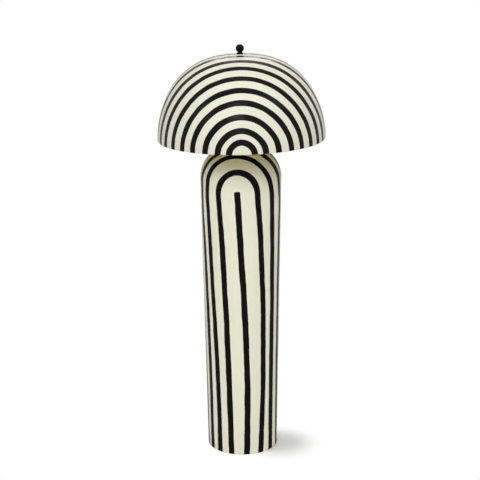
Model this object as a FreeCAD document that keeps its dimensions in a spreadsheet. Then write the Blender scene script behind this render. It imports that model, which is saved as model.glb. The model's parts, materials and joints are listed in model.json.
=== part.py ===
import FreeCAD, Part
import math
import operator
import os
import types

import Sketcher

# Mushroom floor lamp: a hollow column with a rounded shoulder, and a dome shade that a wire harp
# holds above it by a finial. Millimetres. The origin is on the floor at the centre of the base,
# +Z is up and -Y is the front. The cord inlet is low on the back, at +Y.

SIZES = (
    # Foot of the column.
    ("pad_thickness", 2.0, "felt pad under the base"),
    ("pad_margin", 3.0, "how far the pad's edge stays inside the board's edge"),
    ("board_thickness", 18.0, "plywood board that closes the foot"),
    ("foot_lift", 1.0, "floor to the foot of the shell"),
    ("ballast_radius", 92.0, "outside radius of the iron disc"),
    ("ballast_height", 28.0, "height of the iron disc"),
    ("ballast_bore", 16.0, "radius of the hole in the iron disc"),
    ("ballast_round", 3.0, "rounded edge of the iron disc"),
    ("ballast_screw_circle", 62.0, "radius of the circle of screws"),
    ("ballast_screw_count", 4, "screws that hold the iron disc"),
    ("screw_shank", 2.4, "radius of a ballast screw"),
    ("screw_head", 4.8, "radius of a ballast screw's head"),
    ("screw_head_height", 2.8, "height of a ballast screw's head"),
    ("screw_grip", 13.0, "depth of a ballast screw in the board"),
    ("screw_play", 0.4, "gap round a screw in the iron disc"),
    # Column shell.
    ("body_height", 970.0, "foot of the shell to its flat crown"),
    ("side_taper", 0.9, "degrees by which the sides lean out"),
    ("shoulder_arc", 95.2, "radius of the rounded shoulder"),
    ("crown_land", 28.4, "radius of the flat crown"),
    ("body_wall", 6.0, "wall of the shell"),
    ("foot_round", 4.0, "rounded outer edge of the foot"),
    # Cord inlet.
    ("inlet_height", 64.0, "floor to the middle of the cord inlet"),
    ("inlet_bore", 3.5, "radius of the grommet's hole"),
    ("grommet_waist", 5.2, "radius of the grommet where it passes the wall"),
    ("grommet_flange", 8.0, "radius of the grommet's two flanges"),
    ("grommet_lip", 2.0, "thickness of the grommet's outer flange"),
    ("grommet_back", 2.4, "thickness of the grommet's inner flange"),
    ("grommet_round", 0.8, "rounded edge of the grommet's flanges"),
    ("curve_room", 0.7, "room for the wall's curve under the inner flange"),
    # Threaded tube and what it clamps.
    ("nipple_radius", 4.85, "outside radius of the threaded tube"),
    ("nipple_bore", 3.4, "bore radius of the threaded tube"),
    ("nipple_tail", 2.5, "threaded tube below its nut"),
    ("nipple_reach", 7.0, "threaded tube inside the socket's hub"),
    ("washer_radius", 25.0, "radius of the washer under the crown"),
    ("washer_thickness", 2.0, "thickness of the washer under the crown"),
    ("nut_flats", 14.0, "size of the hexagon nut across its flats"),
    ("nut_height", 4.0, "height of the hexagon nut"),
    ("cap_radius", 26.0, "radius of the crown cap"),
    ("cap_height", 6.0, "height of the crown cap"),
    ("cap_wall", 1.2, "sheet thickness of the crown cap"),
    ("cap_top", 12.0, "radius of the flat top of the crown cap"),
    ("neck_radius", 9.5, "radius of the neck's ends"),
    ("neck_waist", 8.2, "radius where the neck's waist meets its beads"),
    ("neck_curve", 12.0, "radius of the hollow curve of the waist"),
    ("neck_length", 12.0, "length of the neck"),
    ("neck_bead", 2.0, "height of the neck's end beads"),
    # Harp saddle.
    ("saddle_span", 28.0, "lamp axis to the middle of each arm"),
    ("saddle_width", 12.0, "width of the saddle's strip"),
    ("saddle_sheet", 1.6, "thickness of the saddle's strip"),
    ("saddle_bend", 3.0, "inside radius of the saddle's bends"),
    ("saddle_shoulder", 8.0, "underside of the saddle to its shoulders"),
    ("tongue_height", 9.0, "height of each tongue above its shoulder"),
    ("tongue_width", 5.0, "width of each tongue"),
    ("lockwasher_radius", 8.5, "radius of the spring washer"),
    ("lockwasher_thickness", 1.2, "thickness of the spring washer"),
    ("lockwasher_gap", 1.5, "width of the spring washer's slit"),
    # Lampholder.
    ("hub_radius", 8.0, "radius of the hub under the lampholder"),
    ("hub_height", 8.0, "height of the hub"),
    ("bowl_foot", 4.0, "underside of the hub to the foot of the bowl"),
    ("bowl_arc", 12.0, "outside radius of the bowl's curve"),
    ("bowl_rim", 5.0, "straight rim above the bowl's curve"),
    ("bowl_wall", 1.0, "wall of the bowl"),
    ("grub_radius", 1.5, "radius of the grub screw"),
    ("grub_length", 4.6, "length of the grub screw"),
    ("grub_height", 2.2, "underside of the hub to the grub screw"),
    ("grub_slot", 0.6, "width of the grub screw's slot"),
    ("grub_slot_depth", 1.0, "depth of the grub screw's slot"),
    ("holder_wall", 0.6, "wall of the lampholder's outer shell"),
    ("holder_height", 42.0, "height of the lampholder's outer shell"),
    ("holder_bead", 1.5, "half the height of the bead round the outer shell"),
    ("holder_bead_arc", 2.0, "radius of the bead's curve"),
    ("holder_bead_drop", 9.0, "top of the shell to the middle of its bead"),
    ("liner_wall", 0.8, "wall of the paper liner"),
    ("liner_drop", 1.5, "top of the shell to the top of the liner"),
    ("core_gap", 0.2, "gap between the liner and the core"),
    ("core_height", 24.5, "height of the moulded core"),
    ("core_lift", 10.6, "underside of the hub to the core"),
    ("core_recess", 7.0, "depth of the core's recess"),
    ("thread_radius", 13.35, "inside radius of the lampholder's screw shell"),
    ("thread_wall", 0.45, "wall of the screw shell"),
    ("thread_height", 26.0, "height of the screw shell"),
    ("contact_width", 5.0, "width of the centre contact's strip"),
    ("contact_sheet", 0.6, "thickness of the centre contact's strip"),
    ("contact_foot", 2.5, "length of the centre contact's foot"),
    ("contact_ramp", 3.0, "length of the slope between its foot and its tongue"),
    ("contact_rise", 2.6, "height of the centre contact's spring tongue"),
    ("terminal_shank", 1.5, "radius of a terminal screw"),
    ("terminal_head", 3.0, "radius of a terminal screw's head"),
    ("terminal_head_height", 1.8, "height of a terminal screw's head"),
    ("terminal_shank_length", 4.0, "length of a terminal screw's shank"),
    ("terminal_height", 6.0, "underside of the core to the terminal screws"),
    ("notch_width", 9.0, "width of the core's terminal notches"),
    ("notch_depth", 4.0, "depth of the core's terminal notches"),
    ("notch_top", 11.0, "underside of the core to the top of the notches"),
    # Turn switch on the lampholder.
    ("shaft_radius", 1.9, "radius of the switch shaft"),
    ("shaft_depth", 9.0, "length of the switch shaft inside the core"),
    ("shaft_stub", 9.0, "length of the switch shaft inside the knob"),
    ("shaft_height", 8.0, "foot of the outer shell to the switch shaft"),
    ("shaft_play", 0.08, "gap round the switch shaft where it turns"),
    ("shaft_window", 0.6, "gap round the switch shaft in shell and liner"),
    ("knob_radius", 6.0, "radius of the switch knob"),
    ("knob_neck", 4.0, "radius of the knob's neck"),
    ("knob_length", 14.0, "length of the switch knob"),
    ("knob_skirt", 3.5, "length of the knob's neck"),
    ("knob_round", 1.5, "rounded end of the knob"),
    ("knob_gap", 0.6, "gap between the lampholder's cup and the knob"),
    ("knob_flutes", 12, "flutes round the knob"),
    ("knob_flute_radius", 0.9, "radius of a flute"),
    # Bulb.
    ("bulb_clearance", 0.35, "gap between the bulb's cap and the screw shell"),
    ("button_radius", 4.4, "radius of the bulb's end contact"),
    ("button_height", 1.3, "height of the bulb's end contact"),
    ("insulator_height", 4.0, "height of the bulb's insulator"),
    ("insulator_radius", 10.5, "radius of the insulator where it meets the cap"),
    ("cap_thread_height", 21.0, "height of the bulb's screw cap"),
    ("cap_thread_wall", 0.5, "wall of the bulb's screw cap"),
    ("housing_collar", 0.6, "how far the bulb's housing stands out from its cap"),
    ("housing_neck", 8.0, "straight neck of the bulb's housing"),
    ("housing_flare", 29.0, "height of the housing's flare"),
    ("housing_arc", 60.0, "radius of the housing's flare"),
    ("board_recess", 2.6, "depth of the recess for the light board"),
    ("light_board_radius", 23.0, "radius of the light board"),
    ("light_board_thickness", 1.6, "thickness of the light board"),
    ("globe_radius", 30.0, "largest radius of the bulb"),
    ("globe_seat", 28.5, "radius of the globe's lower edge"),
    ("globe_skirt", 17.0, "height of the globe below its widest place"),
    ("globe_wall", 1.5, "wall of the globe"),
    # Harp.
    ("harp_height", 242.0, "foot of the harp to the middle of its top"),
    ("wire_radius", 2.0, "radius of the harp's wire"),
    ("leg_radius", 3.2, "radius of the harp's forked feet"),
    ("leg_height", 12.0, "height of the forked feet"),
    ("leg_straight", 28.0, "straight stretch at the foot of each leg"),
    ("harp_belly", 56.0, "lamp axis to each leg at the widest place"),
    ("harp_bend", 45.0, "radius of the bends low in each leg"),
    ("harp_corner", 50.0, "radius of the two upper corners"),
    ("fork_play", 0.1, "gap on each side of a tongue in its fork"),
    ("fork_foot", 0.2, "gap under the forked feet and the ferrules"),
    ("lug_radius", 7.0, "radius of the flat lug at the top of the harp"),
    ("lug_thickness", 4.0, "thickness of the lug"),
    ("ferrule_wall", 0.9, "wall of the ferrules"),
    ("ferrule_length", 14.0, "length of the ferrules"),
    ("ferrule_play", 0.1, "gap between a ferrule and its leg"),
    ("ferrule_lip", 0.5, "how far the ferrules' rolled lip stands out"),
    ("ferrule_lip_height", 1.2, "height of the ferrules' rolled lip"),
    # Swivel.
    ("pivot_radius", 2.0, "radius of the swivel's rivet shank"),
    ("pivot_play", 0.05, "gap round the rivet shank"),
    ("pivot_head", 4.2, "radius of the rivet's head"),
    ("pivot_head_height", 1.6, "height of the rivet's head"),
    ("seat_radius", 9.0, "radius of the swivel's seat"),
    ("seat_thickness", 1.5, "thickness of the swivel's seat"),
    ("stud_radius", 3.17, "radius of the swivel's threaded stud"),
    ("stud_reach", 10.0, "height of the stud above the shade"),
    ("stud_chamfer", 0.6, "chamfer on the end of the stud"),
    # Shade.
    ("shade_radius", 254.0, "outside radius of the rim"),
    ("shade_wall", 5.0, "wall of the shade"),
    ("rim_round", 1.2, "rounded edges of the rim"),
    ("rim_arc", 290.0, "outside radius of the lower side"),
    ("rim_sweep", 30.5, "degrees up the side where the haunch starts"),
    ("haunch_arc", 209.5, "outside radius of the haunch"),
    ("haunch_sweep", 81.4, "degrees up the side where the crown starts"),
    ("stud_play", 0.45, "gap round the stud in the shade's hole"),
    ("fitter_radius", 30.0, "radius of the plate inside the shade's crown"),
    ("fitter_thickness", 2.0, "thickness of that plate"),
    ("fitter_hole_circle", 20.0, "radius of the circle of glue holes"),
    ("fitter_hole_radius", 2.5, "radius of a glue hole"),
    ("fitter_hole_count", 6, "glue holes in the plate"),
    # Finial.
    ("ball_radius", 12.5, "radius of the finial's ball"),
    ("ball_lift", 16.7, "foot of the finial to the centre of its ball"),
    ("collar_radius", 9.5, "radius of the finial's collar"),
    ("collar_height", 3.6, "height of the collar's straight side"),
    ("collar_round", 1.0, "rounded top edge of the collar"),
    ("finial_neck", 6.4, "radius of the finial's neck"),
    ("insert_radius", 5.0, "outside radius of the threaded insert"),
    ("insert_length", 12.5, "length of the threaded insert"),
    ("insert_depth", 11.5, "depth of the thread in the insert"),
    ("stud_fit", 0.08, "gap between the stud and the insert's thread"),
    # Gaps between neighbours.
    ("bond_gap", 0.05, "gap between pieces that are glued or pressed"),
    ("board_gap", 0.2, "gap between the board and the shell"),
    ("thread_gap", 0.1, "gap round the threaded tube"),
    ("seat_gap", 0.1, "gap between pieces that come apart"),
)

SHEET = "Sizes"
ACROSS = FreeCAD.Vector(1, 0, 0)
UP = FreeCAD.Vector(0, 0, 1)
TO_FRONT = 90
TO_BACK = -90


class Size:
    """A number, with the sheet formula that gives it, so that a feature can be bound to it."""

    def __init__(self, value, formula):
        self.value = value
        self.formula = formula

    def joined(self, sign, action, other, other_first=False):
        left, right = (other, self) if other_first else (self, other)
        value = action(value_of(left), value_of(right))
        return Size(value, f"({formula_of(left)} {sign} {formula_of(right)})")

    def __add__(self, other):
        return self.joined("+", operator.add, other)

    def __radd__(self, other):
        return self.joined("+", operator.add, other, other_first=True)

    def __sub__(self, other):
        return self.joined("-", operator.sub, other)

    def __rsub__(self, other):
        return self.joined("-", operator.sub, other, other_first=True)

    def __mul__(self, other):
        return self.joined("*", operator.mul, other)

    def __rmul__(self, other):
        return self.joined("*", operator.mul, other, other_first=True)

    def __truediv__(self, other):
        return self.joined("/", operator.truediv, other)

    def __neg__(self):
        return Size(-self.value, f"(-1 * {self.formula})")


def value_of(number):
    return number.value if isinstance(number, Size) else float(number)


def formula_of(number):
    return number.formula if isinstance(number, Size) else str(number)


def sine(angle):
    return Size(math.sin(math.radians(angle.value)), f"sin({angle.formula})")


def cosine(angle):
    return Size(math.cos(math.radians(angle.value)), f"cos({angle.formula})")


def root(square):
    return Size(math.sqrt(square.value), f"sqrt({square.formula})")


def other_side(long_side, short_side):
    """The third side of a right-angled triangle."""
    return root(long_side * long_side - short_side * short_side)


doc = FreeCAD.newDocument("MushroomFloorLamp")


def fill_sheet():
    """Write each size and its meaning to the sheet, and return the sizes by name."""
    sheet = doc.addObject("Spreadsheet::Sheet", SHEET)
    named = types.SimpleNamespace()
    for row, (name, value, meaning) in enumerate(SIZES, start=1):
        sheet.set(f"A{row}", name)
        sheet.set(f"B{row}", str(value))
        sheet.setAlias(f"B{row}", name)
        sheet.set(f"C{row}", meaning)
        setattr(named, name, Size(value, f"{SHEET}.{name}"))
    return named


s = fill_sheet()


# Helpers: features whose sizes are bound to the sheet.

def bind(item, setting, number):
    """Set one size of a feature, bound to the sheet where the number comes from it."""
    if isinstance(number, Size):
        item.setExpression(setting, number.formula)
    else:
        setattr(item, setting, number)


def place(item, x=0, y=0, z=0, axis=UP, degrees=0):
    """Turn an object about an axis and move it, with its place bound to the sheet."""
    base = FreeCAD.Vector(value_of(x), value_of(y), value_of(z))
    item.Placement = FreeCAD.Placement(base, FreeCAD.Rotation(axis, degrees))
    for letter, number in (("x", x), ("y", y), ("z", z)):
        if isinstance(number, Size):
            item.setExpression(f"Placement.Base.{letter}", number.formula)
    return item


def new_body(label):
    body = doc.addObject("PartDesign::Body", label)
    body.Label = label
    return body


def sketch_on(body, role="XZ_Plane", lift=0):
    """A sketch on one of the body's own origin planes, or a given height above it."""
    sketch = body.newObject("Sketcher::SketchObject", body.Name + "_sketch")
    plane = next(item for item in body.Origin.OriginFeatures if item.Role == role)
    sketch.AttachmentSupport = [(plane, "")]
    sketch.MapMode = "FlatFace"
    sketch.AttachmentOffset = FreeCAD.Placement(FreeCAD.Vector(0, 0, value_of(lift)), FreeCAD.Rotation())
    if isinstance(lift, Size):
        sketch.setExpression("AttachmentOffset.Base.z", lift.formula)
    return sketch


def dimension(sketch, kind, numbers, number):
    """Add one dimension to a sketch and bind it to the sheet."""
    index = sketch.addConstraint(Sketcher.Constraint(kind, *numbers, value_of(number)))
    if isinstance(number, Size):
        sketch.setExpression(f"Constraints[{index}]", number.formula)


# A sketch's own axes and origin, as its constraints number them.
ACROSS_AXIS, UP_AXIS = -1, -2
ORIGIN = (ACROSS_AXIS, 1)

DRILL_START = 1


def pin(sketch, point, x, y):
    """Hold a point of a sketch at x and y, measured from the sketch's origin."""
    for kind, axis, number in (("DistanceX", UP_AXIS, x), ("DistanceY", ACROSS_AXIS, y)):
        if value_of(number) == 0:
            sketch.addConstraint(Sketcher.Constraint("PointOnObject", *point, axis))
        elif value_of(number) > 0:
            dimension(sketch, kind, ORIGIN + point, number)
        else:
            dimension(sketch, kind, point + ORIGIN, -number)


def arc_between(start, end, radius, side):
    """The shorter arc from start to end whose centre lies on the given side of the way there."""
    chord = end - start
    half = chord.Length / 2
    reach = math.sqrt(max(radius * radius - half * half, 0))
    left = FreeCAD.Vector(-chord.y, chord.x, 0).normalize()
    centre = (start + end) / 2 + left * (reach if side == "left" else -reach)
    first, last = (start, end) if side == "left" else (end, start)
    angles = [math.atan2(point.y - centre.y, point.x - centre.x) for point in (first, last)]
    if angles[1] < angles[0]:
        angles[1] += 2 * math.pi
    circle = Part.Circle(centre, FreeCAD.Vector(0, 0, 1), radius)
    return Part.ArcOfCircle(circle, *angles)


def draw(sketch, corners, closed=True):
    """Draw lines and arcs through the corners.

    A corner is (x, y), and (x, y, radius, side) where an arc leaves it, with the arc's centre on
    the left or right of the way to the next corner.
    """
    points = [FreeCAD.Vector(value_of(corner[0]), value_of(corner[1]), 0) for corner in corners]
    count = len(corners) if closed else len(corners) - 1
    ends = []
    for index in range(count):
        corner, start, end = corners[index], points[index], points[(index + 1) % len(points)]
        if len(corner) == 2:
            edge = sketch.addGeometry(Part.LineSegment(start, end), False)
            ends.append(((edge, 1), (edge, 2)))
        else:
            radius, side = corner[2:]
            edge = sketch.addGeometry(arc_between(start, end, value_of(radius), side), False)
            dimension(sketch, "Radius", (edge,), radius)
            ends.append(((edge, 1), (edge, 2)) if side == "left" else ((edge, 2), (edge, 1)))
    for index in range(count if closed else count - 1):
        joint = ends[index][1] + ends[(index + 1) % count][0]
        sketch.addConstraint(Sketcher.Constraint("Coincident", *joint))
    for index in range(count):
        pin(sketch, ends[index][0], *corners[index][:2])
    if not closed:
        pin(sketch, ends[-1][1], *corners[-1][:2])


def draw_circle(sketch, radius, x=0, y=0):
    centre = FreeCAD.Vector(value_of(x), value_of(y), 0)
    circle = Part.Circle(centre, FreeCAD.Vector(0, 0, 1), value_of(radius))
    edge = sketch.addGeometry(circle, False)
    dimension(sketch, "Radius", (edge,), radius)
    pin(sketch, (edge, 3), x, y)


def turned(label, corners):
    """A body made by turning an outline about the upright axis; x is the radius, y the height."""
    body = new_body(label)
    sketch = sketch_on(body)
    draw(sketch, corners)
    feature = body.newObject("PartDesign::Revolution", label + "_turned")
    feature.Profile = sketch
    feature.ReferenceAxis = (sketch, ["V_Axis"])
    feature.Angle = 360
    return body


def pad(body, sketch, length, both_ways=False):
    feature = body.newObject("PartDesign::Pad", body.Name + "_pad")
    feature.Profile = sketch
    bind(feature, "Length", length)
    if both_ways:
        feature.SideType = "Symmetric"
    return feature


def pocket(body, sketch, length, both_ways=False, flipped=False):
    """Cut a sketch out of a body, and make sure that the cut met the solid."""
    doc.recompute()
    before = body.Shape.Volume
    feature = body.newObject("PartDesign::Pocket", body.Name + "_pocket")
    feature.Profile = sketch
    bind(feature, "Length", length)
    if both_ways:
        feature.SideType = "Symmetric"
    feature.Reversed = flipped
    doc.recompute()
    if not body.Shape.Volume < before:
        raise RuntimeError(f"{feature.Name} cuts nothing from {body.Label}")
    return feature


def front_hole(body, radius, height, outside, depth):
    """Drill from the front, from just outside the body, level and towards the axis."""
    start = outside + DRILL_START
    sketch = sketch_on(body, lift=start)
    draw_circle(sketch, radius, 0, height)
    return pocket(body, sketch, DRILL_START + depth)


def around(body, features, count):
    """Repeat features round the upright axis."""
    pattern = body.newObject("PartDesign::PolarPattern", body.Name + "_pattern")
    pattern.Originals = features
    axis = next(item for item in body.Origin.OriginFeatures if item.Role == "Z_Axis")
    pattern.Axis = (axis, [""])
    pattern.Angle = 360
    bind(pattern, "Occurrences", count)
    body.Tip = pattern
    return pattern


def cylinder(label, radius, height, z=0):
    item = doc.addObject("Part::Cylinder", label)
    bind(item, "Radius", radius)
    bind(item, "Height", height)
    return place(item, z=z)


def cut(label, base, tool):
    item = doc.addObject("Part::Cut", label)
    item.Base = base
    item.Tool = tool
    return item


def ring(label, radius, bore, height):
    """A plain tube or washer that stands on its own XY plane."""
    return cut(label, cylinder(label + "_disc", radius, height), cylinder(label + "_bore", bore, height))


# Levels and radii that several pieces share.

taper_sine = sine(s.side_taper)
taper_cosine = cosine(s.side_taper)
taper_tangent = taper_sine / taper_cosine

shoulder_radius = s.crown_land + s.shoulder_arc * taper_cosine
shoulder_height = s.body_height - s.shoulder_arc * (1 + taper_sine)
foot_radius = shoulder_radius - shoulder_height * taper_tangent
foot_bore = foot_radius - s.body_wall / taper_cosine
board_radius = foot_bore - s.board_gap

board_top = s.pad_thickness + s.board_thickness
crown_level = s.foot_lift + s.body_height
washer_level = crown_level - s.body_wall - s.washer_thickness
nut_level = washer_level - s.nut_height
neck_level = crown_level + s.cap_height
saddle_level = neck_level + s.neck_length
hub_level = saddle_level + s.saddle_sheet + s.lockwasher_thickness
nipple_bottom = nut_level - s.nipple_tail
nipple_length = hub_level + s.nipple_reach - nipple_bottom
clamp_bore = s.nipple_radius + s.thread_gap

bowl_radius = s.hub_radius + s.bowl_arc
bowl_top = s.bowl_foot + s.bowl_arc + s.bowl_rim
holder_radius = bowl_radius - s.bowl_wall - s.bond_gap
holder_lift = s.bowl_foot + s.bowl_arc + s.seat_gap
liner_radius = holder_radius - s.holder_wall - s.bond_gap
liner_bore = liner_radius - s.liner_wall
core_radius = liner_bore - s.core_gap
core_floor = s.core_lift + s.core_height - s.core_recess
shaft_level = holder_lift + s.shaft_height
knob_face = bowl_radius + s.knob_gap
thread_outside = s.thread_radius + s.thread_wall

bulb_level = hub_level + core_floor + s.contact_sheet + s.contact_rise + s.seat_gap
cap_thread_radius = s.thread_radius - s.bulb_clearance
cap_thread_level = s.button_height + s.insulator_height
housing_level = cap_thread_level + s.cap_thread_height
housing_top = housing_level + s.housing_neck + s.housing_flare

harp_level = saddle_level + s.saddle_shoulder + s.fork_foot
lug_top = harp_level + s.harp_height + s.lug_thickness / 2
seat_level = lug_top + s.seat_gap
seat_top = seat_level + s.seat_thickness
stud_bore = s.stud_radius + s.stud_play

rim_centre_x = s.shade_radius - s.rim_arc
haunch_x = rim_centre_x + (s.rim_arc - s.haunch_arc) * cosine(s.rim_sweep)
haunch_y = s.rim_round + (s.rim_arc - s.haunch_arc) * sine(s.rim_sweep)
crown_arc = s.haunch_arc + haunch_x / cosine(s.haunch_sweep)
crown_y = haunch_y - (crown_arc - s.haunch_arc) * sine(s.haunch_sweep)
shade_height = crown_y + crown_arc

plate_sag = (crown_arc - s.shade_wall) - other_side(crown_arc - s.shade_wall, s.seat_radius)
plate_level = seat_top + s.seat_gap + plate_sag
apex_inside = plate_level + s.fitter_thickness + s.bond_gap
apex_level = apex_inside + s.shade_wall
shade_level = apex_level - shade_height
finial_level = apex_level + s.seat_gap


# Column.

def body_shell():
    """Hollow shell: tapered sides, a rounded shoulder and a flat crown with a hole for the tube."""
    foot_side = foot_radius + s.foot_round * taper_tangent
    inner_arc = s.shoulder_arc - s.body_wall
    inner_side_x = s.crown_land + inner_arc * taper_cosine
    inner_side_y = s.body_height - s.shoulder_arc - inner_arc * taper_sine
    body = turned("body_shell", [
        (foot_bore, 0),
        (foot_radius - s.foot_round, 0, s.foot_round, "left"),
        (foot_side, s.foot_round),
        (shoulder_radius, shoulder_height, s.shoulder_arc, "left"),
        (s.crown_land, s.body_height),
        (clamp_bore, s.body_height),
        (clamp_bore, s.body_height - s.body_wall),
        (s.crown_land, s.body_height - s.body_wall, inner_arc, "right"),
        (inner_side_x, inner_side_y),
    ])
    inlet = sketch_on(body)
    draw_circle(inlet, s.grommet_waist + s.bond_gap, 0, s.inlet_height - s.foot_lift)
    pocket(body, inlet, shoulder_radius)
    return place(body, z=s.foot_lift)


def base_pad():
    return cylinder("base_pad", board_radius - s.pad_margin, s.pad_thickness)


def base_board():
    """Plywood disc that closes the foot, with pilot holes for the ballast screws."""
    body = new_body("base_board")
    disc = sketch_on(body, "XY_Plane")
    draw_circle(disc, board_radius)
    pad(body, disc, s.board_thickness)
    pilot = sketch_on(body, "XY_Plane", lift=s.board_thickness)
    draw_circle(pilot, s.screw_shank + s.bond_gap, s.ballast_screw_circle, 0)
    hole = pocket(body, pilot, s.screw_grip + s.seat_gap)
    around(body, [hole], s.ballast_screw_count)
    return place(body, z=s.pad_thickness)


def ballast_disc():
    """Cast iron ring that keeps the lamp upright, screwed down on the board."""
    body = turned("ballast_disc", [
        (s.ballast_bore, 0),
        (s.ballast_radius, 0),
        (s.ballast_radius, s.ballast_height - s.ballast_round, s.ballast_round, "left"),
        (s.ballast_radius - s.ballast_round, s.ballast_height),
        (s.ballast_bore + s.ballast_round, s.ballast_height, s.ballast_round, "left"),
        (s.ballast_bore, s.ballast_height - s.ballast_round),
    ])
    clearance = sketch_on(body, "XY_Plane", lift=s.ballast_height)
    draw_circle(clearance, s.screw_shank + s.screw_play, s.ballast_screw_circle, 0)
    hole = pocket(body, clearance, s.ballast_height)
    around(body, [hole], s.ballast_screw_count)
    return place(body, z=board_top)


def ballast_screws():
    """Pan-head wood screws through the iron ring into the board."""
    body = new_body("ballast_screws")
    body.AllowCompound = True
    reach = s.ballast_height + s.screw_grip
    shank = sketch_on(body, "XY_Plane", lift=-s.screw_grip)
    draw_circle(shank, s.screw_shank, s.ballast_screw_circle, 0)
    rod = pad(body, shank, reach)
    head = sketch_on(body, "XY_Plane", lift=s.ballast_height)
    draw_circle(head, s.screw_head, s.ballast_screw_circle, 0)
    disc = pad(body, head, s.screw_head_height)
    around(body, [rod, disc], s.ballast_screw_count)
    return place(body, z=board_top)


def cord_grommet():
    """Rubber grommet in the back wall; it is turned about its own hole."""
    groove = s.body_wall + s.curve_room + s.seat_gap
    back = s.grommet_back
    front = back + groove
    end = front + s.grommet_lip
    body = turned("cord_grommet", [
        (s.inlet_bore, 0),
        (s.grommet_flange - s.grommet_round, 0, s.grommet_round, "left"),
        (s.grommet_flange, s.grommet_round),
        (s.grommet_flange, back),
        (s.grommet_waist, back),
        (s.grommet_waist, front),
        (s.grommet_flange, front),
        (s.grommet_flange, end - s.grommet_round, s.grommet_round, "left"),
        (s.grommet_flange - s.grommet_round, end),
        (s.inlet_bore, end),
    ])
    wall_radius = foot_radius + (s.inlet_height - s.foot_lift) * taper_tangent
    rise = s.grommet_flange * taper_tangent
    return place(body, y=wall_radius + s.seat_gap + rise - front, z=s.inlet_height,
                 axis=ACROSS, degrees=TO_BACK)


def crown_washer():
    return place(ring("crown_washer", s.washer_radius, clamp_bore, s.washer_thickness), z=washer_level)


def inner_nut():
    """Hexagon nut under the crown."""
    prism = doc.addObject("Part::Prism", "inner_nut_prism")
    prism.Polygon = 6
    bind(prism, "Circumradius", s.nut_flats / 2 / Size(math.cos(math.pi / 6), "cos(30)"))
    bind(prism, "Height", s.nut_height)
    bore = cylinder("inner_nut_bore", clamp_bore, s.nut_height)
    return place(cut("inner_nut", prism, bore), z=nut_level)


def nipple():
    """Threaded tube that clamps the crown, the neck, the saddle and the lampholder."""
    return place(ring("nipple", s.nipple_radius, s.nipple_bore, nipple_length), z=nipple_bottom)


def crown_cap():
    """Spun cap on the flat crown, with a curved edge."""
    drop = s.cap_height - s.cap_wall
    return place(turned("crown_cap", [
        (s.cap_radius - s.cap_wall, 0),
        (s.cap_radius, 0, s.cap_radius - s.cap_top, "left"),
        (s.cap_top, s.cap_height),
        (clamp_bore, s.cap_height),
        (clamp_bore, drop),
        (s.cap_top, drop, s.cap_radius - s.cap_top, "right"),
    ]), z=crown_level)


def neck_spacer():
    """Waisted neck between the cap and the harp's saddle."""
    upper = s.neck_length - s.neck_bead
    return place(turned("neck_spacer", [
        (clamp_bore, 0),
        (s.neck_radius, 0),
        (s.neck_radius, s.neck_bead),
        (s.neck_waist, s.neck_bead, s.neck_curve, "right"),
        (s.neck_waist, upper),
        (s.neck_radius, upper),
        (s.neck_radius, s.neck_length),
        (clamp_bore, s.neck_length),
    ]), z=neck_level)


# Harp saddle and lampholder.

def rectangle(sketch, left, right, bottom, top):
    draw(sketch, [(left, bottom), (right, bottom), (right, top), (left, top)])


def harp_saddle():
    """Bent steel strip whose two tongues hold the harp."""
    body = new_body("harp_saddle")
    outside = s.saddle_span + s.saddle_sheet / 2
    inside = s.saddle_span - s.saddle_sheet / 2
    bend = s.saddle_bend + s.saddle_sheet
    top = s.saddle_shoulder + s.tongue_height
    strip = sketch_on(body)
    draw(strip, [
        (-(outside - bend), 0),
        (outside - bend, 0, bend, "left"),
        (outside, bend),
        (outside, top),
        (inside, top),
        (inside, bend, s.saddle_bend, "right"),
        (inside - s.saddle_bend, s.saddle_sheet),
        (-(inside - s.saddle_bend), s.saddle_sheet, s.saddle_bend, "right"),
        (-inside, bend),
        (-inside, top),
        (-outside, top),
        (-outside, bend, bend, "left"),
    ])
    pad(body, strip, s.saddle_width, both_ways=True)
    shoulders = sketch_on(body, "YZ_Plane")
    edge = s.saddle_width / 2 + s.saddle_sheet
    for left, right in ((-edge, -s.tongue_width / 2), (s.tongue_width / 2, edge)):
        rectangle(shoulders, left, right, s.saddle_shoulder, top + s.saddle_sheet)
    pocket(body, shoulders, 2 * (outside + s.saddle_sheet), both_ways=True)
    hole = sketch_on(body, "XY_Plane", lift=s.saddle_sheet)
    draw_circle(hole, clamp_bore)
    pocket(body, hole, s.saddle_sheet)
    return place(body, z=saddle_level)


def lock_washer():
    """Spring washer between the saddle and the lampholder."""
    body = new_body("lock_washer")
    disc = sketch_on(body, "XY_Plane")
    draw_circle(disc, s.lockwasher_radius)
    draw_circle(disc, clamp_bore)
    pad(body, disc, s.lockwasher_thickness)
    slit = sketch_on(body, "XY_Plane", lift=s.lockwasher_thickness)
    half = s.lockwasher_gap / 2
    rectangle(slit, clamp_bore - half, s.lockwasher_radius + half, -half, half)
    pocket(body, slit, s.lockwasher_thickness)
    return place(body, z=saddle_level + s.saddle_sheet)


def socket_cap():
    """Lower cup of the lampholder, with a threaded hub and a grub screw hole at the back."""
    inner_arc = s.bowl_arc - s.bowl_wall
    body = turned("socket_cap", [
        (clamp_bore, 0),
        (s.hub_radius, 0),
        (s.hub_radius, s.bowl_foot, s.bowl_arc, "left"),
        (bowl_radius, s.bowl_foot + s.bowl_arc),
        (bowl_radius, bowl_top),
        (bowl_radius - s.bowl_wall, bowl_top),
        (bowl_radius - s.bowl_wall, s.bowl_foot + s.bowl_arc, inner_arc, "right"),
        (s.hub_radius, s.bowl_foot + s.bowl_wall),
        (s.hub_radius, s.hub_height),
        (clamp_bore, s.hub_height),
    ])
    grub = sketch_on(body)
    draw_circle(grub, s.grub_radius + s.bond_gap, 0, s.grub_height)
    pocket(body, grub, s.hub_radius + s.bowl_wall)
    return place(body, z=hub_level)


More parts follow.
